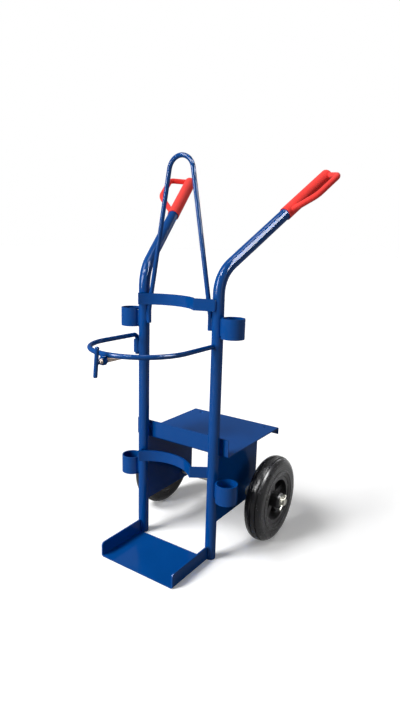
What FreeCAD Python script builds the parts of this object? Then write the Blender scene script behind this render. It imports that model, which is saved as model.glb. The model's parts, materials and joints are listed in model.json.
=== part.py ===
import FreeCAD, Part
import Sketcher
import math
import operator
import os

from FreeCAD import Placement, Rotation, Vector

# Gas cylinder trolley, in millimetres and degrees.
# X runs along the axle to the right, Y backwards, Z up. The origin is on the floor, in the
# middle of the trolley's width and length, and the two uprights stand in front of it.

DRIVING_SIZES = {
    # tubes and rods of the frame
    "tube_dia": 30,
    "tube_wall": 2,
    "rod_dia": 12,
    "weld_gap": 0.1,
    # uprights and handles
    "upright_forward": 40.5,
    "upright_spacing": 240,
    "bend_height": 727,
    "bend_radius": 90,
    "handle_rise": 35.2,
    "handle_splay": 17.3,
    "handle_length": 464,
    # safety grips
    "grip_start": 270,
    "grip_length": 201,
    "grip_dia": 35,
    "grip_end_wall": 6,
    "grip_end_gap": 1,
    "grip_end_round": 9,
    "grip_fit": 0.05,
    "guard_dia": 16,
    "guard_reach": 61,
    "guard_foot": 8,
    "guard_foot_run": 6,
    "guard_low_corner": 72,
    "guard_top_corner": 32,
    "guard_tip": 10,
    "guard_low_bend": 40,
    "guard_top_bend": 18,
    "left_guard_roll": 20,
    "right_guard_roll": 9,
    # hose bow
    "bow_top": 1058,
    "bow_top_radius": 37,
    "bow_lean": 10,
    "bow_bend_radius": 60,
    "bow_foot_height": 634,
    "bow_forward": 4,
    "bow_seat": 60,
    "bow_foot_run": 25,
    # saddle straps
    "strap_height": 30,
    "strap_thick": 5,
    "saddle_radius": 118,
    "saddle_offset": 20,
    "saddle_depth": 2.5,
    "saddle_wrap": 48,
    "upper_strap_height": 700,
    "lower_strap_height": 252,
    # toe plate
    "toe_width": 244,
    "toe_reach": 175,
    "toe_flange": 41,
    "toe_thick": 4,
    "toe_corner": 9,
    "sheet_bend": 2,
    # shelf
    "shelf_height": 299,
    "shelf_width": 311,
    "shelf_depth": 304,
    "shelf_thick": 3,
    "shelf_front_lip": 50,
    "shelf_rear_lip": 22,
    "shelf_hole_dia": 9,
    "shelf_hole_spacing": 238,
    "shelf_hole_inset": 27,
    # axle plates and axle
    "axle_plate_thick": 4,
    "axle_plate_bottom": 98,
    "axle_plate_rear": 245,
    "axle_plate_corner": 24,
    "axle_dia": 20,
    "axle_back": 196,
    "axle_overhang": 8,
    # wheels
    "wheel_dia": 250,
    "wheel_track": 398,
    "tyre_width": 56,
    "tyre_shoulder": 24,
    "tyre_rib": 1.2,
    "groove_pitch": 14,
    "groove_width": 2.6,
    "groove_depth": 2,
    "rim_dia": 132,
    "rim_width": 46,
    "rim_wall": 6,
    "rim_flange": 5,
    "hub_dia": 46,
    "hub_length": 75,
    "spoke_count": 5,
    "spoke_width": 17,
    "spoke_thick": 18,
    "bush_dia": 28,
    "running_gap": 0.05,
    "washer_dia": 36,
    "washer_thick": 3,
    "end_play": 0.2,
    "spacer_dia": 28,
    "pin_dia": 4,
    "pin_length": 44,
    "pin_eye_dia": 9,
    "pin_turn": 45,
    # holder rings and cups on the uprights
    "ring_dia": 59,
    "ring_wall": 3,
    "ring_height": 51,
    "upper_ring_foot": 620,
    "ring_gap": 15,
    "cup_height": 52,
    "cup_foot": 181,
    "cup_floor_thick": 3,
    # clamp hoop
    "hoop_height": 596,
    "hoop_front": 257,
    "hoop_corner_radius": 129,
    "hoop_end_in": 3,
    "hoop_end_gap": 0.3,
    "hoop_leg_bend": 14,
    "hoop_leg_length": 56,
    "hoop_joint_back": 40,
    "sleeve_dia": 20,
    "sleeve_length": 36,
    "sleeve_gap": 0.1,
    # clamp screw
    "spindle_dia": 12,
    "spindle_length": 88,
    "spindle_end": 191,
    "spindle_chamfer": 1.5,
    "nut_width": 18,
    "nut_length": 11,
    "nut_front": 268,
    "bar_dia": 10,
    "bar_length": 73,
    "bar_round": 3,
    "bar_turn": 6,
}

doc = FreeCAD.newDocument("gas_cylinder_trolley")
sheet = doc.addObject("Spreadsheet::Sheet", "sizes")
for row, (alias, number) in enumerate(DRIVING_SIZES.items(), 1):
    sheet.set(f"A{row}", alias)
    sheet.set(f"B{row}", str(number))
    sheet.setAlias(f"B{row}", alias)
doc.recompute()


# Sizes that carry their number and the sheet expression that drives it

ARITHMETIC = {"+": operator.add, "-": operator.sub, "*": operator.mul, "/": operator.truediv}


def as_size(item):
    if isinstance(item, Size):
        return item
    return Size(item, f"({item})")


def join(first, sign, second):
    first, second = as_size(first), as_size(second)
    value = ARITHMETIC[sign](first.value, second.value)
    return Size(value, f"({first.text} {sign} {second.text})")


class Size:
    def __init__(self, value, text):
        self.value = value
        self.text = text

    def __add__(self, other):
        return join(self, "+", other)

    def __radd__(self, other):
        return join(other, "+", self)

    def __sub__(self, other):
        return join(self, "-", other)

    def __rsub__(self, other):
        return join(other, "-", self)

    def __mul__(self, other):
        return join(self, "*", other)

    def __rmul__(self, other):
        return join(other, "*", self)

    def __truediv__(self, other):
        return join(self, "/", other)

    def __neg__(self):
        return join(-1, "*", self)


def size(alias):
    return Size(float(sheet.get(alias)), f"sizes.{alias}")


def sine(angle):
    return Size(math.sin(math.radians(angle.value)), f"sin({angle.text} * 1 deg)")


def cosine(angle):
    return Size(math.cos(math.radians(angle.value)), f"cos({angle.text} * 1 deg)")


def tangent(angle):
    return Size(math.tan(math.radians(angle.value)), f"tan({angle.text} * 1 deg)")


def arc_tangent(rise, run):
    angle = math.degrees(math.atan2(rise.value, run.value))
    return Size(angle, f"(atan2({rise.text}; {run.text}) / 1 deg)")


def square_root(item):
    return Size(math.sqrt(item.value), f"sqrt({item.text})")


def length_of(across, along):
    return square_root(across * across + along * along)


def pick(word, chosen, items):
    items = [as_size(item) for item in items]
    return Size(chosen(item.value for item in items), f"{word}({'; '.join(i.text for i in items)})")


def larger(*items):
    return pick("max", max, items)


def smaller(*items):
    return pick("min", min, items)


ZERO = as_size(0)
X_AXIS = Vector(1, 0, 0)
Y_AXIS = Vector(0, 1, 0)
Z_AXIS = Vector(0, 0, 1)
UPWARD = Rotation()
ALONG_X = Rotation(Y_AXIS, 90)
ALONG_Y = Rotation(X_AXIS, -90)
SIDES = {"left": -1, "right": 1}


# Helpers for bound sizes and places

def bind(item, **properties):
    for name, bound in properties.items():
        item.setExpression(name, as_size(bound).text)
    return item


def place(item, x=ZERO, y=ZERO, z=ZERO, rotation=UPWARD, angle=None):
    # The place is given from the line on the floor that joins the uprights' feet
    x, y, z = as_size(x), y - size("upright_forward"), as_size(z)
    item.Placement = Placement(Vector(x.value, y.value, z.value), rotation)
    for axis, bound in zip("xyz", (x, y, z)):
        item.setExpression(f"Placement.Base.{axis}", bound.text)
    if angle is not None:
        item.setExpression("Placement.Rotation.Angle", angle.text)
    return item


def turned(angle):
    return {"rotation": Rotation(Z_AXIS, angle.value), "angle": angle}


def named(item, label):
    item.Label = label
    return item


# Helpers for primitives and booleans

def cylinder(name, diameter, height, sweep=None):
    item = bind(doc.addObject("Part::Cylinder", name), Radius=diameter / 2, Height=height)
    if sweep is not None:
        bind(item, Angle=sweep)
    return item


def cut(name, base, *tools):
    for count, tool in enumerate(tools, 1):
        last = count == len(tools)
        result = doc.addObject("Part::Cut", name if last else f"{name}_cut_{count}")
        result.Base = base
        result.Tool = tool
        base = result
    return base


def fuse(name, *items):
    result = doc.addObject("Part::MultiFuse", name)
    result.Shapes = list(items)
    result.Refine = True
    return result


def tube_piece(name, outer, inner, height, rotation, **at):
    sleeve = place(cylinder(f"{name}_outside", outer, height), rotation=rotation, **at)
    bore = place(cylinder(f"{name}_bore", inner, height), rotation=rotation, **at)
    return cut(name, sleeve, bore)


# Helpers for bodies and sketches

def new_body(label):
    return named(doc.addObject("PartDesign::Body", label), label)


def new_sketch(body, name, plane, offset=None):
    sketch = body.newObject("Sketcher::SketchObject", f"{body.Label}_{name}")
    support = next(item for item in body.Origin.OriginFeatures if item.Role == plane)
    sketch.AttachmentSupport = (support, [""])
    sketch.MapMode = "FlatFace"
    if offset is not None:
        sketch.setExpression("AttachmentOffset.Base.z", offset.text)
    return sketch


def constrain(sketch, bound, kind, *elements):
    index = sketch.addConstraint(Sketcher.Constraint(kind, *elements, bound.value))
    sketch.setExpression(f"Constraints[{index}]", bound.text)


def fix_point(sketch, geometry, vertex, x, y):
    constrain(sketch, as_size(x), "DistanceX", -1, 1, geometry, vertex)
    constrain(sketch, as_size(y), "DistanceY", -1, 1, geometry, vertex)


def flat_point(x, y):
    return Vector(as_size(x).value, as_size(y).value, 0)


def sketch_circle(sketch, diameter, x=ZERO, y=ZERO):
    radius = diameter / 2
    index = sketch.addGeometry(Part.Circle(flat_point(x, y), Z_AXIS, radius.value))
    fix_point(sketch, index, 3, x, y)
    constrain(sketch, radius, "Radius", index)


def sketch_outline(sketch, corners):
    first = len(sketch.Geometry)
    count = len(corners)
    for index in range(count):
        ends = (corners[index], corners[(index + 1) % count])
        sketch.addGeometry(Part.LineSegment(*(flat_point(*end) for end in ends)))
    for index, corner in enumerate(corners):
        line, following = first + index, first + (index + 1) % count
        sketch.addConstraint(Sketcher.Constraint("Coincident", line, 2, following, 1))
        fix_point(sketch, line, 1, *corner)


def sketch_bent_path(sketch, points, radii):
    # Straight runs that aim at the points, joined there by tangent arcs
    places = [flat_point(*point) for point in points]
    start = places[0]
    run = 0
    for index, radius in enumerate(radii, 1):
        before, here, after = places[index - 1 : index + 2]
        back, onward = (before - here).normalize(), (after - here).normalize()
        half = back.getAngle(onward) / 2
        entry = here + back * (radius.value / math.tan(half))
        leave = here + onward * (radius.value / math.tan(half))
        centre = here + (back + onward).normalize() * (radius.value / math.sin(half))
        left_turn = back.cross(onward).z < 0
        first, last = (entry, leave) if left_turn else (leave, entry)
        angles = [math.atan2(end.y - centre.y, end.x - centre.x) for end in (first, last)]
        sketch.addGeometry(Part.LineSegment(start, entry))
        circle = Part.Circle(centre, Z_AXIS, radius.value)
        sketch.addGeometry(Part.ArcOfCircle(circle, *angles))
        start = leave
        run += 2
    sketch.addGeometry(Part.LineSegment(start, places[-1]))
    fix_point(sketch, 0, 1, *points[0])
    for index, radius in enumerate(radii, 1):
        before, here, after = places[index - 1 : index + 2]
        left_turn = (before - here).cross(after - here).z < 0
        entry_end, leave_end = (1, 2) if left_turn else (2, 1)
        arc = 2 * index - 1
        sketch.addConstraint(Sketcher.Constraint("Tangent", arc - 1, 2, arc, entry_end))
        sketch.addConstraint(Sketcher.Constraint("Tangent", arc, leave_end, arc + 1, 1))
        constrain(sketch, radius, "Radius", arc)
        corner = sketch.addGeometry(Part.Point(here), True)
        fix_point(sketch, corner, 1, *points[index])
        sketch.addConstraint(Sketcher.Constraint("PointOnObject", corner, 1, arc - 1))
        sketch.addConstraint(Sketcher.Constraint("PointOnObject", corner, 1, arc + 1))
    fix_point(sketch, run, 2, *points[-1])
    return [f"Edge{index}" for index in range(1, run + 2)]


def add_pipe(body, name, profile, path, edges):
    pipe = body.newObject("PartDesign::AdditivePipe", f"{body.Label}_{name}")
    pipe.Profile = profile
    pipe.Spine = (path, edges)
    return pipe


def add_pad(body, name, sketch, thickness, both_sides=False, backwards=False):
    pad = body.newObject("PartDesign::Pad", f"{body.Label}_{name}")
    pad.Profile = sketch
    pad.Reversed = backwards
    if both_sides:
        pad.SideType = "Symmetric"
    return bind(pad, Length=thickness)


def add_revolution(body, name, sketch, axis):
    turn = body.newObject("PartDesign::Revolution", f"{body.Label}_{name}")
    turn.Profile = sketch
    turn.ReferenceAxis = (sketch, [axis])
    turn.Angle = 360
    return turn


def cut_round(body, name, sketch, axis):
    before = volume_of(body)
    groove = body.newObject("PartDesign::Groove", f"{body.Label}_{name}")
    groove.Profile = sketch
    groove.ReferenceAxis = (sketch, [axis])
    groove.Angle = 360
    if volume_of(body) >= before:
        raise ValueError(f"{body.Label}: the groove {name} cuts nothing")
    return groove


def add_pocket(body, name, sketch, depth, backwards=False):
    before = volume_of(body)
    pocket = body.newObject("PartDesign::Pocket", f"{body.Label}_{name}")
    pocket.Profile = sketch
    pocket.Reversed = backwards
    bind(pocket, Length=depth)
    if volume_of(body) >= before:
        raise ValueError(f"{body.Label}: the pocket {name} cuts nothing")
    return pocket


def volume_of(body):
    doc.recompute()
    return body.Shape.Volume


def add_fillet(body, name, radius, wanted):
    # Rounds the edges whose box corners pass the test
    doc.recompute()
    base = body.Tip
    edges = []
    for index, edge in enumerate(base.Shape.Edges, 1):
        if wanted(edge.BoundBox):
            edges.append(f"Edge{index}")
    fillet = body.newObject("PartDesign::Fillet", f"{body.Label}_{name}")
    fillet.Base = (base, edges)
    return bind(fillet, Radius=radius)


def near(first, second):
    return abs(first - second) < 0.01


# Places that several pieces share

TUBE = size("tube_dia")
ROD = size("rod_dia")
WELD = size("weld_gap")
HALF_SPACING = size("upright_spacing") / 2
BEND_TURN = 90 - size("handle_rise")
WHEEL_RADIUS = size("wheel_dia") / 2
WHEEL_X = size("wheel_track") / 2
HUB_INNER_X = WHEEL_X - size("hub_length") / 2
HUB_OUTER_X = WHEEL_X + size("hub_length") / 2
WASHER = size("washer_thick")
PLATE_OUTER_X = HALF_SPACING + size("axle_plate_thick") / 2
AXLE_END_X = HUB_OUTER_X + size("end_play") + WASHER + size("axle_overhang")
PIN_X = HUB_OUTER_X + size("end_play") + WASHER + size("pin_dia") / 2 + size("end_play")
SHELF_UNDERSIDE = size("shelf_height") - size("shelf_thick")
TUBE_BACK = TUBE / 2 + WELD
SLEEVE_X = -(HALF_SPACING + TUBE / 2 + size("sleeve_dia") / 2 + WELD)
HOOP_END_X = HALF_SPACING - size("hoop_end_in")
SPINDLE_X = -size("saddle_offset")
SPINDLE_Z = size("hoop_height") - ROD / 2 - WELD - size("nut_width") / 2

# The upper rings and the upper strap stay over the hoop, and the bends over all that the
# straight uprights hold

RING_FOOT = larger(size("upper_ring_foot"), size("hoop_height") + ROD / 2 + size("ring_gap"))
HOOP_TO_STRAP = ROD / 2 + size("ring_gap") + size("strap_height") / 2
UPPER_STRAP_Z = larger(size("upper_strap_height"), size("hoop_height") + HOOP_TO_STRAP)
BEND_START = larger(
    size("bend_height"),
    RING_FOOT + size("ring_height") + size("ring_gap") / 2,
    UPPER_STRAP_Z + (size("strap_height") + size("ring_gap")) / 2,
    size("bow_foot_height") + size("bow_seat"))
HANDLE_CORNER = BEND_START + size("bend_radius") * tangent(BEND_TURN / 2)


# Uprights: hollow round tubes, straight up and then bent back into the handles

def upright(side, sign):
    body = new_body(f"{side}_upright")
    path = new_sketch(body, "path", "XZ_Plane")
    rise, reach = size("handle_rise"), size("handle_length")
    tube_end = (reach * cosine(rise), HANDLE_CORNER + reach * sine(rise))
    points = [(ZERO, ZERO), (ZERO, HANDLE_CORNER), tube_end]
    edges = sketch_bent_path(path, points, [size("bend_radius")])
    profile = new_sketch(body, "section", "XY_Plane")
    sketch_circle(profile, TUBE)
    sketch_circle(profile, TUBE - 2 * size("tube_wall"))
    add_pipe(body, "tube", profile, path, edges)
    heading = 90 - sign * size("handle_splay")
    return place(body, x=sign * HALF_SPACING, **turned(heading))


# Safety grips: a closed sleeve on the handle's end with a knuckle guard outside it

def grip(side, sign):
    body = new_body(f"{side}_grip")
    reach, foot = size("guard_reach"), size("guard_foot")
    foot_x = (size("grip_dia") - size("guard_dia")) / 2
    length = size("grip_length")
    low, top = size("guard_low_corner"), length - size("guard_top_corner")
    path = new_sketch(body, "guard_path", "XZ_Plane")
    points = [(foot_x, foot), (foot_x, foot + size("guard_foot_run")), (reach, low),
              (reach, top), (foot_x, length - size("guard_tip"))]
    radii = [size("guard_low_bend") / 3, size("guard_low_bend"), size("guard_top_bend")]
    edges = sketch_bent_path(path, points, radii)
    section = new_sketch(body, "guard_section", "XY_Plane", offset=foot)
    sketch_circle(section, size("guard_dia"), foot_x)
    add_pipe(body, "guard", section, path, edges)
    half = new_sketch(body, "sleeve_half", "XZ_Plane")
    radius = size("grip_dia") / 2
    sketch_outline(half, [(ZERO, ZERO), (radius, ZERO), (radius, length), (ZERO, length)])
    add_revolution(body, "sleeve", half, "V_Axis")
    bore = new_sketch(body, "bore_circle", "XY_Plane")
    sketch_circle(bore, TUBE + 2 * size("grip_fit"))
    add_pocket(body, "bore", bore, length - size("grip_end_wall"), backwards=True)
    add_fillet(body, "end_round", size("grip_end_round"),
               lambda box: near(box.ZMin, length.value) and near(box.ZMax, length.value))
    rise, splay = size("handle_rise"), size("handle_splay")
    bore_depth = length - size("grip_end_wall")
    start = larger(size("grip_start"), size("handle_length") + size("grip_end_gap") - bore_depth)
    run = start * cosine(rise)
    x = sign * (HALF_SPACING + run * sine(splay))
    y = run * cosine(splay) - size("upright_forward")
    z = HANDLE_CORNER + start * sine(rise)
    turn = -1 * splay if sign > 0 else 180 + splay
    tilt = -1 * sign * BEND_TURN
    roll = -1 * sign * size(f"{side}_guard_roll")
    base = f"vector({x.text}; {y.text}; {z.text})"
    heading = f"rotation(vector(0; 0; 1); {turn.text} * 1 deg)"
    leaning = f"rotation(vector(1; 0; 0); {tilt.text} * 1 deg)"
    rolled = f"rotation(vector(0; 0; 1); {roll.text} * 1 deg)"
    body.setExpression("Placement", f"placement({base}; {heading} * {leaning} * {rolled})")
    return body


# Hose bow: an upside-down V of round rod with a rounded top, its feet beside the uprights

def hose_bow():
    body = new_body("hose_bow")
    aside = square_root((TUBE / 2 + ROD / 2 + WELD) * (TUBE / 2 + ROD / 2 + WELD)
                        - size("bow_forward") * size("bow_forward"))
    foot_x, foot_z = HALF_SPACING - aside, size("bow_foot_height")
    lean, round_top = size("bow_lean"), size("bow_top_radius")
    above_knee = foot_x / tangent(lean) - round_top / sine(lean) + round_top
    top = larger(size("bow_top"), foot_z + size("bow_foot_run") + above_knee)
    peak = top - round_top + round_top / sine(lean)
    knee = peak - foot_x / tangent(lean)
    path = new_sketch(body, "path", "XZ_Plane")
    points = [(-foot_x, foot_z), (-foot_x, knee), (ZERO, peak), (foot_x, knee), (foot_x, foot_z)]
    radii = [size("bow_bend_radius"), round_top, size("bow_bend_radius")]
    edges = sketch_bent_path(path, points, radii)
    section = new_sketch(body, "section", "XY_Plane", offset=foot_z)
    sketch_circle(section, ROD, -foot_x)
    add_pipe(body, "rod", section, path, edges)
    return place(body, y=-size("bow_forward"))


# Saddle straps: a hollow for the cylinder, folded at both ends towards the uprights

def saddle_strap(label, middle_height, aim_y):
    high, thick = size("strap_height"), size("strap_thick")
    radius, wrap = size("saddle_radius"), size("saddle_wrap")
    foot_z = middle_height - high / 2
    centre_x, centre_y = -size("saddle_offset"), size("saddle_depth") - radius
    band_start = turned(90 - wrap)
    outer = cylinder(f"{label}_outer", 2 * (radius + thick), high, 2 * wrap)
    inner = cylinder(f"{label}_inner", 2 * radius, high, 2 * wrap)
    for item in (outer, inner):
        place(item, centre_x, centre_y, foot_z, **band_start)
    pieces = [cut(f"{label}_band", outer, inner)]
    middle = radius + thick / 2
    posts = []
    for side, sign in SIDES.items():
        fold_x = centre_x + sign * middle * sine(wrap)
        fold_y = centre_y + middle * cosine(wrap)
        fold = place(cylinder(f"{label}_{side}_fold", thick, high), fold_x, fold_y, foot_z)
        run_x, run_y = sign * HALF_SPACING - fold_x, aim_y - fold_y
        angle = arc_tangent(run_y, run_x)
        flange = doc.addObject("Part::Box", f"{label}_{side}_flange")
        bind(flange, Length=length_of(run_x, run_y), Width=thick, Height=high)
        corner_x = fold_x + thick / 2 * sine(angle)
        corner_y = fold_y - thick / 2 * cosine(angle)
        place(flange, corner_x, corner_y, foot_z, **turned(angle))
        post = cylinder(f"{label}_{side}_cope", TUBE + 2 * WELD, high)
        posts.append(place(post, sign * HALF_SPACING, ZERO, foot_z))
        pieces += [fold, flange]
    return named(cut(label, fuse(f"{label}_bar", *pieces), *posts), label)


# Toe plate: a sheet folded up at both sides, with rounded front corners

def toe_plate():
    body = new_body("toe_plate")
    half, high, thick = size("toe_width") / 2, size("toe_flange"), size("toe_thick")
    section = new_sketch(body, "section", "XZ_Plane")
    sketch_outline(section, [
        (-half, high), (-half, ZERO), (half, ZERO), (half, high),
        (half - thick, high), (half - thick, thick), (thick - half, thick), (thick - half, high)])
    reach = size("toe_reach") - TUBE_BACK
    add_pad(body, "sheet", section, reach)
    bend, inside = size("sheet_bend") + thick, (half - thick).value
    add_fillet(body, "outer_bends", bend, lambda box: near(box.ZMax, 0) and near(
        abs(box.XMin), half.value) and near(box.XMin, box.XMax))
    add_fillet(body, "inner_bends", size("sheet_bend"), lambda box: near(
        box.ZMax, thick.value) and near(abs(box.XMin), inside) and near(box.XMin, box.XMax))
    add_fillet(body, "front_corners", size("toe_corner"), lambda box: near(
        box.ZMin, high.value) and near(box.YMin, -reach.value) and near(box.YMax, -reach.value))
    return place(body, y=-TUBE_BACK)


# Shelf: a sheet with an upturned front lip on the uprights and a downturned rear lip

def shelf():
    body = new_body("shelf")
    thick, depth, width = size("shelf_thick"), size("shelf_depth"), size("shelf_width")
    front_lip, rear_lip = size("shelf_front_lip"), size("shelf_rear_lip")
    section = new_sketch(body, "section", "YZ_Plane")
    sketch_outline(section, [
        (ZERO, -thick), (depth - thick, -thick), (depth - thick, -rear_lip), (depth, -rear_lip),
        (depth, ZERO), (thick, ZERO), (thick, front_lip - thick), (ZERO, front_lip - thick)])
    add_pad(body, "sheet", section, width, both_sides=True)
    holes = new_sketch(body, "holes", "XY_Plane")
    for sign in SIDES.values():
        hole_x = sign * size("shelf_hole_spacing") / 2
        sketch_circle(holes, size("shelf_hole_dia"), hole_x, depth - size("shelf_hole_inset"))
    add_pocket(body, "rear_holes", holes, thick)
    bend = size("sheet_bend")
    across = width.value

    def bend_at(y, z):
        return lambda box: (near(box.XLength, across) and near(box.YMin, y.value)
                            and near(box.YMax, y.value) and near(box.ZMin, z.value)
                            and near(box.ZMax, z.value))

    add_fillet(body, "front_outside", bend + thick, bend_at(ZERO, -thick))
    add_fillet(body, "front_inside", bend, bend_at(thick, ZERO))
    add_fillet(body, "rear_outside", bend + thick, bend_at(depth, ZERO))
    add_fillet(body, "rear_inside", bend, bend_at(depth - thick, -thick))
    return place(body, y=TUBE_BACK, z=size("shelf_height"))


# Axle plates: upright sheets from the uprights to the rear, under the shelf

def axle_plate(side, sign):
    body = new_body(f"{side}_axle_plate")
    low, high = size("axle_plate_bottom"), SHELF_UNDERSIDE
    front, rear = TUBE_BACK, size("axle_plate_rear")
    front_top = front + size("sheet_bend") + size("shelf_thick")
    corner = size("axle_plate_corner")
    section = new_sketch(body, "outline", "YZ_Plane")
    notch = high - size("sheet_bend") - size("shelf_thick")
    sketch_outline(section, [
        (front, low), (rear, low), (rear, high), (front_top, high), (front, notch)])
    add_pad(body, "sheet", section, size("axle_plate_thick"), both_sides=True)
    bore = new_sketch(body, "axle_circle", "YZ_Plane")
    sketch_circle(bore, size("axle_dia") + 2 * WELD, size("axle_back"), WHEEL_RADIUS)
    hole = add_pocket(body, "axle_hole", bore, 2 * size("axle_plate_thick"))
    hole.SideType = "Symmetric"
    add_fillet(body, "rear_corner", corner, lambda box: near(box.YMin, rear.value) and near(
        box.YMax, rear.value) and near(box.ZMin, low.value) and near(box.ZMax, low.value))
    return place(body, x=sign * HALF_SPACING)


# Axle with its cross holes, spacers, washers and split pins

def place_on_pin(item, sign, offset):
    # Along a split pin's line through the axle, which leans backwards at the top
    turn = size("pin_turn")
    y = size("axle_back") + offset * sine(turn)
    z = WHEEL_RADIUS + offset * cosine(turn)
    return place(item, sign * PIN_X, y, z, Rotation(-X_AXIS, turn.value), turn)


def axle():
    bar = cylinder("axle_bar", size("axle_dia"), 2 * AXLE_END_X)
    place(bar, -AXLE_END_X, size("axle_back"), WHEEL_RADIUS, ALONG_X)
    holes = []
    for side, sign in SIDES.items():
        hole = cylinder(f"{side}_pin_hole", size("pin_dia") + 2 * WELD, 2 * size("axle_dia"))
        holes.append(place_on_pin(hole, sign, -size("axle_dia")))
    return named(cut("axle", bar, *holes), "axle")


def axle_spacer(side, sign):
    start = PLATE_OUTER_X + WELD
    run = HUB_INNER_X - size("end_play") - WASHER - WELD - start
    x = start if sign > 0 else -(start + run)
    label = f"{side}_axle_spacer"
    bore = size("axle_dia") + 2 * WELD
    spacer = tube_piece(label, size("spacer_dia"), bore, run, ALONG_X,
                        x=x, y=size("axle_back"), z=WHEEL_RADIUS)
    return named(spacer, label)


def axle_washers():
    starts = {
        "left_outer": -(HUB_OUTER_X + size("end_play") + WASHER),
        "left_inner": -(HUB_INNER_X - size("end_play")),
        "right_inner": HUB_INNER_X - size("end_play") - WASHER,
        "right_outer": HUB_OUTER_X + size("end_play"),
    }
    bore = size("axle_dia") + 2 * WELD
    washers = doc.addObject("Part::Compound", "axle_washers")
    washers.Links = [
        tube_piece(f"{name}_washer", size("washer_dia"), bore, WASHER, ALONG_X,
                   x=x, y=size("axle_back"), z=WHEEL_RADIUS)
        for name, x in starts.items()]
    return named(washers, "axle_washers")


def split_pins():
    pins = doc.addObject("Part::Compound", "split_pins")
    eye, thick = size("pin_eye_dia"), size("pin_dia")
    top = size("axle_dia") / 2 + WELD
    for side, sign in SIDES.items():
        shank = cylinder(f"{side}_pin_shank", thick, size("pin_length"))
        place_on_pin(shank, sign, top - size("pin_length") + thick)
        ring = bind(doc.addObject("Part::Torus", f"{side}_pin_eye"),
                    Radius1=(eye - thick / 2) / 2, Radius2=thick / 4)
        up = top + thick * 3 / 4 + eye / 2
        y = size("axle_back") + up * sine(size("pin_turn"))
        z = WHEEL_RADIUS + up * cosine(size("pin_turn"))
        place(ring, sign * PIN_X, y, z, ALONG_X)
        pins.Links = pins.Links + [fuse(f"{side}_pin", shank, ring)]
    return named(pins, "split_pins")


# Wheels: solid rubber tyre, spoked rim and the bush in its hub

def wheel_place(body, sign):
    return place(body, sign * WHEEL_X, size("axle_back"), WHEEL_RADIUS)


def tyre(side, sign):
    body = new_body(f"{side}_tyre")
    half, outer = size("tyre_width") / 2, WHEEL_RADIUS
    seat = size("rim_dia") / 2 + size("running_gap")
    step = size("tyre_rib")
    shoulder = smaller(size("tyre_shoulder"), half - 2 * step)
    bead = size("rim_width") / 2 - size("rim_flange") - size("running_gap")
    lip = seat + size("rim_flange") + size("running_gap")
    rib = outer - shoulder * 3 / 2
    right_half = [
        (bead, seat), (bead, lip), (half - 3 * step, lip), (half - step, rib - 6 * step),
        (half, rib - 5 * step), (half, rib - 2 * step), (half - step, rib - step),
        (half - step, outer)]
    left_half = [(-x, radius) for x, radius in reversed(right_half)]
    section = new_sketch(body, "section", "XY_Plane")
    sketch_outline(section, right_half + left_half)
    add_revolution(body, "rubber", section, "H_Axis")
    add_fillet(body, "shoulders", shoulder, lambda box: near(box.ZMax, outer.value))
    # Three grooves round the tread, the outer two set lower on the rounded shoulders
    groove_half, deep = size("groove_width") / 2, size("groove_depth")
    flat = half - step - shoulder
    across = larger(size("groove_pitch") - flat, 0)
    drop = shoulder - square_root(shoulder * shoulder - across * across)
    grooves = new_sketch(body, "groove_section", "XY_Plane")
    for middle, floor in ((-size("groove_pitch"), drop), (ZERO, ZERO), (size("groove_pitch"), drop)):
        low, high = outer - floor - deep, outer + deep
        sketch_outline(grooves, [(middle - groove_half, low), (middle + groove_half, low),
                                 (middle + groove_half, high), (middle - groove_half, high)])
    cut_round(body, "tread_grooves", grooves, "H_Axis")
    return wheel_place(body, sign)


def rim(side, sign):
    body = new_body(f"{side}_rim")
    hub_half, hub = size("hub_length") / 2, size("hub_dia") / 2
    bore = size("bush_dia") / 2 + size("running_gap")
    hub_section = new_sketch(body, "hub_section", "XY_Plane")
    sketch_outline(hub_section, [(-hub_half, bore), (hub_half, bore), (hub_half, hub - 3),
                                 (hub_half - 6, hub), (6 - hub_half, hub), (-hub_half, hub - 3)])
    add_revolution(body, "hub", hub_section, "H_Axis")
    seat = size("rim_dia") / 2
    inner = seat - size("rim_wall")
    arm = size("spoke_width") / 2
    spoke = new_sketch(body, "spoke_outline", "YZ_Plane")
    root, tip = hub - 4, inner + size("rim_wall") / 2
    sketch_outline(spoke, [(-arm * 1.3, root), (arm * 1.3, root), (arm, tip), (-arm, tip)])
    first = add_pad(body, "spoke", spoke, size("spoke_thick"), both_sides=True)
    doc.recompute()
    spokes = body.newObject("PartDesign::PolarPattern", f"{body.Label}_spokes")
    spokes.Originals = [first]
    spokes.Axis = (spoke, ["N_Axis"])
    spokes.Angle = 360
    spokes.setExpression("Occurrences", "sizes.spoke_count")
    body.Tip = spokes
    doc.recompute()
    half, flange = size("rim_width") / 2, size("rim_flange")
    barrel = new_sketch(body, "barrel_section", "XY_Plane")
    sketch_outline(barrel, [
        (-half, inner), (half, inner), (half, seat + flange), (half - flange, seat + flange),
        (half - flange, seat), (flange - half, seat), (flange - half, seat + flange),
        (-half, seat + flange)])
    add_revolution(body, "barrel", barrel, "H_Axis")
    return wheel_place(body, sign)


def hub_bush(side, sign):
    label = f"{side}_hub_bush"
    bore = size("axle_dia") + 2 * size("running_gap")
    start = sign * WHEEL_X - size("hub_length") / 2
    bush = tube_piece(label, size("bush_dia"), bore, size("hub_length"), ALONG_X,
                      x=start, y=size("axle_back"), z=WHEEL_RADIUS)
    return named(bush, label)


# Holder rings and cups: short tube pieces on the uprights' outer sides

RING_X = HALF_SPACING + TUBE / 2 + size("ring_dia") / 2 + WELD
RING_BORE = size("ring_dia") - 2 * size("ring_wall")


def upper_ring(side, sign):
    label = f"{side}_upper_ring"
    ring = tube_piece(label, size("ring_dia"), RING_BORE, size("ring_height"), UPWARD,
                      x=sign * RING_X, z=RING_FOOT)
    return named(ring, label)


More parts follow.
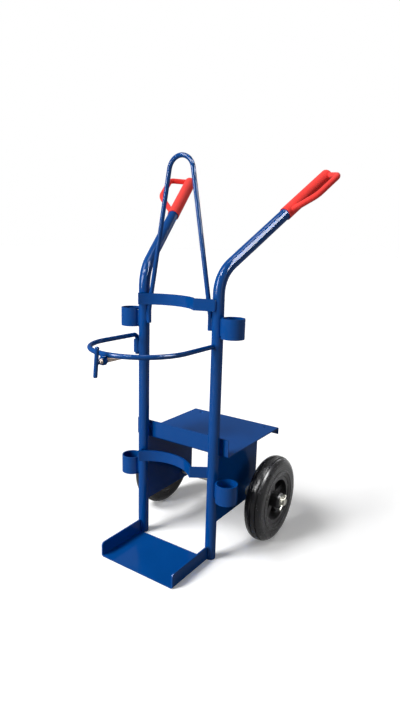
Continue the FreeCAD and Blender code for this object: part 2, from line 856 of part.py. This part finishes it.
def lower_cup(side, sign):
    label = f"{side}_lower_cup"
    floor_thick = size("cup_floor_thick")
    cup = tube_piece(label, size("ring_dia"), RING_BORE, size("cup_height") - floor_thick, UPWARD,
                     x=sign * RING_X, z=size("cup_foot") + floor_thick)
    return named(cup, label)


def cup_floor(side, sign):
    label = f"{side}_cup_floor"
    disc = cylinder(label, size("ring_dia"), size("cup_floor_thick"))
    return named(place(disc, sign * RING_X, ZERO, size("cup_foot")), label)


# Clamp hoop: a rod round the cylinder's front, its left leg turned down into the sleeve

def clamp_hoop():
    body = new_body("clamp_hoop")
    joint_y, front_y = -size("hoop_joint_back"), -size("hoop_front")
    end_y = -(TUBE / 2 + size("hoop_end_gap"))
    section = new_sketch(body, "section", "XZ_Plane", offset=size("hoop_joint_back"))
    sketch_circle(section, ROD, SLEEVE_X)
    around = new_sketch(body, "around", "XY_Plane")
    points = [(SLEEVE_X, joint_y), (SLEEVE_X, front_y), (HOOP_END_X, front_y), (HOOP_END_X, end_y)]
    bend = size("hoop_corner_radius")
    add_pipe(body, "bow", section, around, sketch_bent_path(around, points, [bend, bend]))
    down = new_sketch(body, "down", "YZ_Plane", offset=SLEEVE_X)
    drop = [(joint_y, ZERO), (ZERO, ZERO), (ZERO, -size("hoop_leg_length"))]
    edges = sketch_bent_path(down, drop, [size("hoop_leg_bend")])
    add_pipe(body, "leg", section, down, edges)
    return place(body, z=size("hoop_height"))


def hoop_pivot_sleeve():
    bore = ROD + 2 * size("sleeve_gap")
    top = size("hoop_height") - size("hoop_leg_bend") - size("hoop_end_gap")
    sleeve = tube_piece("hoop_pivot_sleeve", size("sleeve_dia"), bore, size("sleeve_length"),
                        UPWARD, x=SLEEVE_X, z=top - size("sleeve_length"))
    return named(sleeve, "hoop_pivot_sleeve")


# Clamp screw: nut under the hoop, spindle and the bar across its head

def clamp_nut():
    prism = doc.addObject("Part::Prism", "clamp_nut_blank")
    prism.Polygon = 6
    bind(prism, Circumradius=size("nut_width") / (2 * cosine(as_size(30))),
         Height=size("nut_length"))
    bore = cylinder("clamp_nut_bore", size("spindle_dia") + 2 * size("running_gap"),
                    size("nut_length"))
    for item in (prism, bore):
        place(item, SPINDLE_X, -size("nut_front"), SPINDLE_Z, ALONG_Y)
    return named(cut("clamp_nut", prism, bore), "clamp_nut")


SPINDLE_HEAD_Y = -size("spindle_end") - size("spindle_length")
BAR_Y = SPINDLE_HEAD_Y - size("end_play") - size("bar_dia") / 2


def clamp_spindle():
    body = new_body("clamp_spindle")
    half = size("spindle_dia") / 2
    end, bevel = size("spindle_length"), size("spindle_chamfer")
    section = new_sketch(body, "section", "XY_Plane")
    sketch_outline(section, [(ZERO, ZERO), (half, ZERO), (half, end - bevel),
                             (half - bevel, end), (ZERO, end)])
    add_revolution(body, "rod", section, "V_Axis")
    return place(body, SPINDLE_X, SPINDLE_HEAD_Y, SPINDLE_Z)


def tommy_bar():
    body = new_body("tommy_bar")
    section = new_sketch(body, "section", "XY_Plane")
    sketch_circle(section, size("bar_dia"))
    half = size("bar_length") / 2
    add_pad(body, "rod", section, size("bar_length"), both_sides=True)
    add_fillet(body, "round_ends", size("bar_round"), lambda box: near(
        box.ZMin, box.ZMax) and near(abs(box.ZMin), half.value))
    turn = size("bar_turn")
    leaning = Rotation(Y_AXIS, turn.value)
    return place(body, SPINDLE_X, BAR_Y, SPINDLE_Z, leaning, turn)


# The whole trolley, one entry for each sub-part

pieces = []
for side, sign in SIDES.items():
    for make in (upright, grip, axle_plate, axle_spacer, tyre, rim, hub_bush, upper_ring,
                 lower_cup, cup_floor):
        pieces.append(make(side, sign))
pieces.append(hose_bow())
strap_front = -(TUBE + size("strap_thick")) / 2
pieces.append(saddle_strap("upper_saddle_strap", UPPER_STRAP_Z, strap_front))
pieces.append(saddle_strap("lower_saddle_strap", size("lower_strap_height"), ZERO))
for make in (toe_plate, shelf, axle, axle_washers, split_pins, hoop_pivot_sleeve, clamp_hoop,
             clamp_nut, clamp_spindle, tommy_bar):
    pieces.append(make())

doc.recompute()
for item in doc.Objects:
    if {"Invalid", "Error"} & set(item.State):
        raise ValueError(f"{item.Label} failed: {item.State}")
for piece in pieces:
    if piece.Shape.isNull() or not piece.Shape.isValid():
        raise ValueError(f"{piece.Label} has no valid shape")

os.makedirs("parts", exist_ok=True)
for piece in pieces:
    piece.Shape.exportStep(f"parts/{piece.Label}.step")
    print(f"{piece.Label}: {len(piece.Shape.Solids)} solid, {piece.Shape.Volume / 1000:.1f} cm3")
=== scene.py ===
"""Gas cylinder trolley: the CAD solids with their finishes, weld beads and the screw's thread.

The frame is in metres: X along the axle, Y backwards, Z up. Sizes of the pieces made here are
in millimetres, measured from the line on the floor that joins the uprights' feet.
"""
import json
import math

import bpy
from mathutils import Matrix, Vector


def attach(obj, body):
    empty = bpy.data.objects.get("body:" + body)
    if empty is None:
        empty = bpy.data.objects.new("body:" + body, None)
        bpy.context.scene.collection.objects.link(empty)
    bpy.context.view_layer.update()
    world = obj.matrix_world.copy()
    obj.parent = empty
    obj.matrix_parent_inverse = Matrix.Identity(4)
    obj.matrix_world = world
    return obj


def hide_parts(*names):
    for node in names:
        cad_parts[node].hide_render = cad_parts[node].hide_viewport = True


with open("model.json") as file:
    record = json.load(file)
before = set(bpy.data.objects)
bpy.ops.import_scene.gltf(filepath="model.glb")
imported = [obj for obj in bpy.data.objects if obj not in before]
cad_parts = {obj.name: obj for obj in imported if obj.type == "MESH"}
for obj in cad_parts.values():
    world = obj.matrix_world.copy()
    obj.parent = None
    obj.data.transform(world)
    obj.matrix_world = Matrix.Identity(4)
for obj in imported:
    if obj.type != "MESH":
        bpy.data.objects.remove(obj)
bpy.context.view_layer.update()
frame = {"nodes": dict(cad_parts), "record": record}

FORWARD = 40.5  # from the frame's origin forward to the uprights' line
POST_X, TUBE_R = 120.0, 15.0
ROD_R = 6.0
HOLDER_X, HOLDER_R = 164.6, 29.5
AXLE_Y, AXLE_Z = 196.0, 125.0
SPINDLE_X, SPINDLE_Z = -20.0, 580.9
SPINDLE_HEAD_Y, SPINDLE_LENGTH = -279.0, 88.0
SIDES = (-1, 1)
WHITE = (1.0, 1.0, 1.0, 1.0)
NOISE_SPAN = (0.3, 0.7)  # the values of a noise that get a finish's two colours


def at(x, y, z):
    return Vector((x, y - FORWARD, z)) / 1000


# Shader helpers

def shader_of(material):
    return material.node_tree.nodes["Principled BSDF"]


def new_material(name, colour, roughness, metallic=0.0, specular=0.5):
    material = bpy.data.materials.new(name)
    material.use_nodes = True
    shader = shader_of(material)
    shader.inputs["Base Color"].default_value = (*colour, 1.0)
    shader.inputs["Roughness"].default_value = roughness
    shader.inputs["Metallic"].default_value = metallic
    shader.inputs["Specular IOR Level"].default_value = specular
    return material


def add_node(material, kind, **inputs):
    node = material.node_tree.nodes.new(kind)
    for name, value in inputs.items():
        node.inputs[name].default_value = value
    return node


def link(material, source, target):
    material.node_tree.links.new(source, target)


def object_coordinates(material):
    return add_node(material, "ShaderNodeTexCoord").outputs["Object"]


def add_noise(material, scale, detail=3.0):
    noise = add_node(material, "ShaderNodeTexNoise", Scale=scale, Detail=detail)
    link(material, object_coordinates(material), noise.inputs["Vector"])
    return noise.outputs["Fac"]


def add_bump(material, height, strength, distance):
    bump = add_node(material, "ShaderNodeBump", Strength=strength, Distance=distance)
    link(material, height, bump.inputs["Height"])
    link(material, bump.outputs["Normal"], shader_of(material).inputs["Normal"])
    return bump


def vary_roughness(material, factor, low, high):
    spread = add_node(material, "ShaderNodeMapRange", **{"To Min": low, "To Max": high})
    link(material, factor, spread.inputs["Value"])
    link(material, spread.outputs["Result"], shader_of(material).inputs["Roughness"])


def vary_colour(material, factor, low, high):
    ramp = add_node(material, "ShaderNodeValToRGB")
    first, last = ramp.color_ramp.elements
    first.position, last.position = NOISE_SPAN
    first.color, last.color = (*low, 1.0), (*high, 1.0)
    link(material, factor, ramp.inputs["Fac"])
    link(material, ramp.outputs["Color"], shader_of(material).inputs["Base Color"])


# Finishes

def paint_finish():
    # A powder coat is a little uneven in colour and has a fine orange peel
    paint = new_material("blue_paint", (0.0014, 0.058, 0.25), 0.4, specular=0.0)
    shader = shader_of(paint)
    shader.inputs["Coat Weight"].default_value = 0.085
    shader.inputs["Coat IOR"].default_value = 1.9
    shader.inputs["Coat Roughness"].default_value = 0.12
    vary_colour(paint, add_noise(paint, 9.0),
                low=(0.0012, 0.055, 0.238), high=(0.0016, 0.061, 0.262))
    peel = add_bump(paint, add_noise(paint, 450.0, 2.0), strength=0.06, distance=0.0003)
    link(paint, peel.outputs["Normal"], shader.inputs["Coat Normal"])
    return paint


def grip_finish():
    red = new_material("red_plastic", (0.98, 0.062, 0.053), 0.5, specular=0.0)
    shader = shader_of(red)
    shader.inputs["Sheen Weight"].default_value = 0.35
    shader.inputs["Sheen Roughness"].default_value = 0.4
    vary_colour(red, add_noise(red, 25.0), low=(0.95, 0.057, 0.049), high=(1.0, 0.066, 0.057))
    add_bump(red, add_noise(red, 1100.0, 2.0), strength=0.15, distance=0.0002)
    return red


def tyre_finish():
    # Moulding rings about the axle, on rubber that is unevenly worn
    rubber = new_material("tyre_rubber", (0.004, 0.004, 0.005), 0.24, specular=0.16)
    rings = add_node(rubber, "ShaderNodeTexWave", Scale=52.0)
    rings.wave_type = "RINGS"
    rings.rings_direction = "X"
    from_axle = add_node(rubber, "ShaderNodeMapping", Location=-at(0, AXLE_Y, AXLE_Z))
    link(rubber, object_coordinates(rubber), from_axle.inputs["Vector"])
    link(rubber, from_axle.outputs["Vector"], rings.inputs["Vector"])
    add_bump(rubber, rings.outputs["Fac"], strength=0.2, distance=0.0012)
    vary_roughness(rubber, add_noise(rubber, 40.0), low=0.2, high=0.36)
    return rubber


def rim_finish():
    plastic = new_material("rim_plastic", (0.007, 0.007, 0.0075), 0.4, specular=0.2)
    add_bump(plastic, add_noise(plastic, 900.0, 2.0), strength=0.12, distance=0.0003)
    return plastic


def bush_finish():
    nylon = new_material("bush_nylon", (0.42, 0.41, 0.38), 0.5)
    vary_colour(nylon, add_noise(nylon, 60.0), low=(0.39, 0.38, 0.35), high=(0.45, 0.44, 0.41))
    add_bump(nylon, add_noise(nylon, 900.0, 2.0), strength=0.1, distance=0.0002)
    return nylon


def zinc_finish():
    zinc = new_material("zinc_steel", (0.28, 0.277, 0.25), 0.42, metallic=1.0)
    vary_roughness(zinc, add_noise(zinc, 220.0), low=0.36, high=0.48)
    return zinc


def thread_finish():
    steel = new_material("thread_steel", (0.2, 0.16, 0.13), 0.42, metallic=0.85)
    vary_colour(steel, add_noise(steel, 300.0), low=(0.13, 0.1, 0.085), high=(0.26, 0.22, 0.19))
    return steel


finishes = {
    "blue_paint": paint_finish(),
    "red_plastic": grip_finish(),
    "tyre_rubber": tyre_finish(),
    "rim_plastic": rim_finish(),
    "bush_nylon": bush_finish(),
    "zinc_steel": zinc_finish(),
    "thread_steel": thread_finish(),
}
for subpart in frame["record"]["subparts"]:
    node = frame["nodes"][subpart["node"]]
    for holder in node.material_slots:
        holder.material = finishes[subpart["material_slot"]]


# Mesh helpers

class Shape:
    """Vertices and faces of one piece, in metres."""

    def __init__(self):
        self.points = []
        self.faces = []

    def add_tube(self, rings, closed_ends=True):
        first = len(self.points)
        around = len(rings[0])
        for ring in rings:
            self.points += ring
        for row in range(len(rings) - 1):
            for step in range(around):
                a = first + row * around + step
                b = first + row * around + (step + 1) % around
                self.faces.append((a, b, b + around, a + around))
        if closed_ends:
            last = first + (len(rings) - 1) * around
            self.faces.append(tuple(reversed(range(first, first + around))))
            self.faces.append(tuple(range(last, last + around)))

    def build(self, name, finish, body, smooth_angle=40):
        mesh = bpy.data.meshes.new(name)
        mesh.from_pydata(self.points, [], self.faces)
        mesh.validate()
        piece = bpy.data.objects.new(name, mesh)
        bpy.context.collection.objects.link(piece)
        mesh.materials.append(finishes[finish])
        mesh.set_sharp_from_angle(angle=math.radians(smooth_angle))
        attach(piece, body)
        return piece


def circle(centre, radius, across, other, count):
    ring = []
    for step in range(count):
        angle = 2 * math.pi * step / count
        ring.append(centre + radius * (math.cos(angle) * across + math.sin(angle) * other))
    return ring


def circle_about(centre, along, radius, count):
    along = along.normalized()
    across = along.orthogonal().normalized()
    return circle(centre, radius, across, along.cross(across), count)


# Weld beads: rippled rolls of metal along the seams

RIPPLE = 3.0
RIPPLE_STEPS = 4
RIPPLE_DEPTH = 0.12
BEAD_SIDES = 10
FEWEST_STEPS = 8
RING_STEPS = 64
END_STEPS = 3
END_AREA = 0.12  # share of a bead's section that is left at its very end
BITE = 1.1  # how far a bead in a groove reaches into the metal on either side


def ripple(index):
    # Share of the full radius at a step along the bead
    return 1 - RIPPLE_DEPTH * (1 - abs(math.sin(index * math.pi / RIPPLE_STEPS)))


def straight_bead(shape, start, end, radius):
    # A bead that closes in a rounded end at both sides
    start, end = at(*start), at(*end)
    steps = round((end - start).length * 1000 / RIPPLE * RIPPLE_STEPS)
    steps = max(FEWEST_STEPS, steps)
    rings = []
    for index in range(steps + 1):
        near_end = min(index, steps - index) / END_STEPS
        taper = math.sqrt(max(END_AREA, 1 - max(0.0, 1 - near_end) ** 2))
        centre = start.lerp(end, index / steps)
        size = radius * ripple(index) * taper / 1000
        rings.append(circle_about(centre, end - start, size, BEAD_SIDES))
    shape.add_tube(rings)


def upright_bead(shape, x, y, seam, radius):
    low, high = seam
    straight_bead(shape, (x, y, low), (x, y, high), radius)


def ring_bead(shape, centre, axis, ring_radius, radius):
    centre = at(*centre)
    seam = circle_about(centre, Vector(axis), ring_radius / 1000, RING_STEPS)
    rings = []
    for index, point in enumerate(seam):
        along = seam[(index + 1) % RING_STEPS] - seam[index - 1]
        outward = (point - centre).normalized()
        up = along.normalized().cross(outward)
        rings.append(circle(point, radius * ripple(index) / 1000, outward, up, BEAD_SIDES))
    shape.add_tube(rings + rings[:1], closed_ends=False)


def groove_beads(shape, post, post_r, other, other_r, seam, offset):
    # Beads in both grooves beside the line where two round uprights touch
    post, other = Vector(post), Vector(other)
    along = (other - post).normalized()
    aside = Vector((-along.y, along.x))
    wall = post + along * math.sqrt(post_r ** 2 - offset ** 2)
    far = other - along * math.sqrt(other_r ** 2 - offset ** 2)
    for sign in SIDES:
        centre = (wall + far) / 2 + aside * sign * offset
        upright_bead(shape, *centre, seam, radius=(far - wall).length / 2 + BITE)


# Where the seams begin and end

RING_SEAM = (624, 667)
CUP_SEAM = (187, 229)
BOW_X, BOW_Y = 99.3, -4.0
BOW_SEAM = (637, 668)
STRAP_X, STRAP_Y = 121.0, -17.2
UPPER_STRAP_SEAM = (687, 713)
LOWER_STRAP_ENDS = ((109.4, -11.2), (105.8, -6.0), (-118.9, -15.2), (-112.6, -13.6))
LOWER_STRAP_SEAM = (239, 265)
PLATE_SIDES = (-3.4, 3.4)  # from the middle of an upright to both faces of a plate
PLATE_FRONT_Y = 15.6
PLATE_SEAM = (102, 286)
TOE_BACK_Y = -15.6
TOE_SEAM = (7, 39)
SHELF_UNDERSIDE = 295.2
SHELF_SEAM_Y = (26, 240)
LIP_SIDES = (-7.0, 7.0)
LIP_FRONT_Y = 14.2
LIP_SEAM = (301, 343)
AXLE_SEAM_X, AXLE_SEAM_R = 117.4, 10.6
SLEEVE, SLEEVE_R = (-145.1, 0.0), 10.0
SLEEVE_SEAM = (549, 579)
NUT_FRONT_Y, NUT_FRONT_Z = -262.0, 591.3
NUT_BACK_Y, NUT_BACK_Z = -256.4, 589.4
BAR_WELD_AHEAD, BAR_WELD_R = 1.7, 4.9

frame_welds = Shape()
for sign in SIDES:
    post = (sign * POST_X, 0.0)
    rod_holder = (sign * HOLDER_X, 0.0)
    for seam in (RING_SEAM, CUP_SEAM):
        groove_beads(frame_welds, post, TUBE_R, rod_holder, HOLDER_R, seam, offset=7.0)
    bow_foot = (sign * BOW_X, BOW_Y)
    groove_beads(frame_welds, post, TUBE_R, bow_foot, ROD_R, BOW_SEAM, offset=3.6)
    upright_bead(frame_welds, sign * STRAP_X, STRAP_Y, UPPER_STRAP_SEAM, radius=2.3)
    for offset in PLATE_SIDES:
        x = sign * POST_X + offset
        upright_bead(frame_welds, x, PLATE_FRONT_Y, PLATE_SEAM, radius=2.3)
        upright_bead(frame_welds, x, TOE_BACK_Y, TOE_SEAM, radius=2.2)
        ends = [(x, y, SHELF_UNDERSIDE) for y in SHELF_SEAM_Y]
        straight_bead(frame_welds, *ends, radius=1.9)
    for offset in LIP_SIDES:
        upright_bead(frame_welds, sign * POST_X + offset, LIP_FRONT_Y, LIP_SEAM, radius=1.9)
    axle_seam = (sign * AXLE_SEAM_X, AXLE_Y, AXLE_Z)
    ring_bead(frame_welds, axle_seam, (1, 0, 0), AXLE_SEAM_R, radius=1.9)
groove_beads(frame_welds, (-POST_X, 0.0), TUBE_R, SLEEVE, SLEEVE_R, SLEEVE_SEAM, offset=5.0)
for x, y in LOWER_STRAP_ENDS:
    upright_bead(frame_welds, x, y, LOWER_STRAP_SEAM, radius=2.1)
frame_welds.build("frame_welds", "blue_paint", "frame")

hoop_welds = Shape()
for half_width, y, z, radius in ((9, NUT_FRONT_Y, NUT_FRONT_Z, 2.2),
                                 (8, NUT_BACK_Y, NUT_BACK_Z, 1.6)):
    ends = [(SPINDLE_X + sign * half_width, y, z) for sign in SIDES]
    straight_bead(hoop_welds, *ends, radius)
hoop_welds.build("hoop_welds", "blue_paint", "hoop")

bar_weld = Shape()
bar_seam = (SPINDLE_X, SPINDLE_HEAD_Y - BAR_WELD_AHEAD, SPINDLE_Z)
ring_bead(bar_weld, bar_seam, (0, 1, 0), BAR_WELD_R, radius=1.5)
bar_weld.build("bar_weld", "blue_paint", "clamp_handle")


# The spindle's thread, cut into the rod behind its plain head

PITCH = 1.75
THREAD_DEPTH = 0.95
THREAD_SIDES = 40
ROWS_A_TURN = 10
PLAIN_HEAD = 6.0
END_BEVEL = 1.5
WALL_SLOPE, CREST_FLAT = 1.3, 0.15


def thread_radius(along, turn):
    if along < PLAIN_HEAD:
        return ROD_R
    phase = (along / PITCH - turn) % 1.0
    groove = 1 - abs(2 * phase - 1)
    lead_in = min(1.0, (along - PLAIN_HEAD) / PITCH)
    cut = THREAD_DEPTH * lead_in * min(1.0, max(0.0, groove * WALL_SLOPE - CREST_FLAT))
    bevel = max(0.0, END_BEVEL - (SPINDLE_LENGTH - along))
    return ROD_R - max(cut, bevel)


def thread_row(along):
    row = []
    for step in range(THREAD_SIDES):
        turn = step / THREAD_SIDES
        radius = thread_radius(along, turn)
        x = SPINDLE_X + radius * math.cos(2 * math.pi * turn)
        z = SPINDLE_Z - radius * math.sin(2 * math.pi * turn)
        row.append(at(x, SPINDLE_HEAD_Y + along, z))
    return row


row_count = round(SPINDLE_LENGTH / PITCH * ROWS_A_TURN)
spindle = Shape()
spindle.add_tube([thread_row(SPINDLE_LENGTH * row / row_count) for row in range(row_count + 1)])
threaded = spindle.build("threaded_spindle", "thread_steel", "clamp_screw", smooth_angle=30)
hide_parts("clamp_spindle")


# Floor, light and camera, in metres

FLOOR_SIZE = 120.0
FLOOR_Z = -0.0006  # just under the feet and tyres
GLOW_NEAR, GLOW_FAR = 0.5, 2.4  # distances between which the floor's glow grows


def place(name, data, location):
    holder = bpy.data.objects.new(name, data)
    holder.location = location
    bpy.context.collection.objects.link(holder)
    return holder


def aim(holder, target):
    direction = Vector(target) - holder.location
    holder.rotation_euler = direction.to_track_quat("-Z", "Y").to_euler()


def sheet_mesh(name, width, height):
    x, y = width / 2, height / 2
    mesh = bpy.data.meshes.new(name)
    mesh.from_pydata([(-x, -y, 0), (x, -y, 0), (x, y, 0), (-x, y, 0)], [], [(0, 1, 2, 3)])
    return mesh


def mix_by_ray(tree, plain, shown, target):
    # What the camera sees, also in gloss and through glass, and what lights the object otherwise
    path = tree.nodes.new("ShaderNodeLightPath")
    seen = path.outputs["Is Camera Ray"]
    for kind in ("Is Glossy Ray", "Is Transmission Ray"):
        either = tree.nodes.new("ShaderNodeMath")
        either.operation = "MAXIMUM"
        tree.links.new(seen, either.inputs[0])
        tree.links.new(path.outputs[kind], either.inputs[1])
        seen = either.outputs["Value"]
    mix = tree.nodes.new("ShaderNodeMixShader")
    tree.links.new(seen, mix.inputs["Fac"])
    tree.links.new(plain, mix.inputs[1])
    tree.links.new(shown, mix.inputs[2])
    tree.links.new(mix.outputs["Shader"], target)


def add_floor(glow, far_glow, shade, bounce):
    # The camera sees a white floor with soft shadows, and the object gets less light from it.
    # Away from the lamps the floor glows more, so that it stays white up to the horizon.
    mesh = sheet_mesh("studio_floor", FLOOR_SIZE, FLOOR_SIZE)
    floor = place("studio_floor", mesh, (0, 0, FLOOR_Z))
    material = new_material("studio_floor", (shade, shade, shade), 0.9, specular=0.0)
    shown = shader_of(material)
    shown.inputs["Emission Color"].default_value = WHITE
    distance = add_node(material, "ShaderNodeVectorMath")
    distance.operation = "LENGTH"
    link(material, object_coordinates(material), distance.inputs[0])
    spread = add_node(material, "ShaderNodeMapRange", **{
        "From Min": GLOW_NEAR, "From Max": GLOW_FAR, "To Min": glow, "To Max": far_glow})
    spread.interpolation_type = "SMOOTHSTEP"
    link(material, distance.outputs["Value"], spread.inputs["Value"])
    link(material, spread.outputs["Result"], shown.inputs["Emission Strength"])
    plain = add_node(material, "ShaderNodeBsdfDiffuse", Color=(bounce, bounce, bounce, 1.0))
    tree = material.node_tree
    mix_by_ray(tree, plain.outputs["BSDF"], shown.outputs["BSDF"],
               tree.nodes["Material Output"].inputs["Surface"])
    mesh.materials.append(material)


def add_world(strength):
    world = bpy.data.worlds.new("studio")
    bpy.context.scene.world = world
    world.use_nodes = True
    tree = world.node_tree
    shaders = []
    for level in (strength, 1.0):
        shader = tree.nodes.new("ShaderNodeBackground")
        shader.inputs["Color"].default_value = WHITE
        shader.inputs["Strength"].default_value = level
        shaders.append(shader.outputs["Background"])
    mix_by_ray(tree, *shaders, tree.nodes["World Output"].inputs["Surface"])


def add_sun(location, target, strength, spread):
    sun = bpy.data.lights.new("key_sun", "SUN")
    sun.energy = strength
    sun.angle = math.radians(spread)
    aim(place("key_sun", sun, location), target)


def add_panel(name, location, target, size, power):
    panel = bpy.data.lights.new(name, "AREA")
    panel.shape = "RECTANGLE"
    panel.size, panel.size_y = size
    panel.energy = power
    holder = place(name, panel, location)
    holder.visible_camera = False
    aim(holder, target)


def add_pane(name, location, target, size, strength):
    # A bright sheet that only shows in the gloss of the object
    mesh = sheet_mesh(name, *size)
    material = new_material(name, (0.0, 0.0, 0.0), 1.0, specular=0.0)
    shader = shader_of(material)
    shader.inputs["Emission Color"].default_value = WHITE
    shader.inputs["Emission Strength"].default_value = strength
    material.cycles.emission_sampling = "NONE"
    mesh.materials.append(material)
    pane = place(name, mesh, location)
    pane.visible_camera = False
    pane.visible_diffuse = False
    pane.visible_transmission = False
    pane.visible_shadow = False
    aim(pane, target)


def add_camera():
    right = Vector((0.8240, 0.5659, 0.0262))
    down = Vector((0.1465, -0.1681, -0.9748))
    forward = Vector((-0.5473, 0.8071, -0.2214))
    turn = Matrix((right, -down, -forward)).transposed()
    data = bpy.data.cameras.new("photo_camera")
    data.lens = 26.65
    data.sensor_width = 36.0
    data.shift_x = 0.0021
    data.shift_y = 0.0124
    data.clip_end = 200.0
    camera = bpy.data.objects.new("photo_camera", data)
    camera.matrix_world = Matrix.Translation(at(815.9, -1107.9, 844.4)) @ turn.to_4x4()
    bpy.context.collection.objects.link(camera)
    bpy.context.scene.camera = camera


add_floor(glow=0.12, far_glow=0.36, shade=0.96, bounce=0.12)
add_world(strength=0.09)
add_sun((-1.25, -1.75, 2.75), target=(0.0, 0.0, 0.0), strength=2.75, spread=22)
add_panel("front_left", (-0.85, -2.3, 0.98), target=(0.1, 0.0, 0.4), size=(0.5, 0.6), power=38)
add_panel("right_fill", (2.3, -0.5, 1.0), target=(0.1, 0.1, 0.4), size=(1.2, 1.2), power=8)
add_panel("back_fill", (0.5, 2.6, 1.7), target=(0.0, 0.1, 0.5), size=(1.2, 1.2), power=18)
add_pane("pane_top_right", (1.3, 0.05, 1.92),
         target=(0.17, 0.1, 0.84), size=(0.8, 1.5), strength=70)
add_pane("pane_top_left", (-0.05, 0.0, 2.6),
         target=(-0.05, 0.0, 0.0), size=(0.6, 0.9), strength=15)
add_pane("pane_front_left", (-1.0, -1.5, 2.2),
         target=(0.0, 0.0, 0.7), size=(0.7, 0.6), strength=43)
add_pane("pane_front_low", (-0.72, -1.75, 1.4),
         target=(0.2, 0.05, 0.19), size=(0.8, 0.8), strength=60)
add_pane("pane_front_top", (0.0, -1.55, 2.3),
         target=(0.0, 0.0, 0.75), size=(0.55, 0.4), strength=90)
add_camera()
bpy.context.scene.view_settings.view_transform = "Standard"
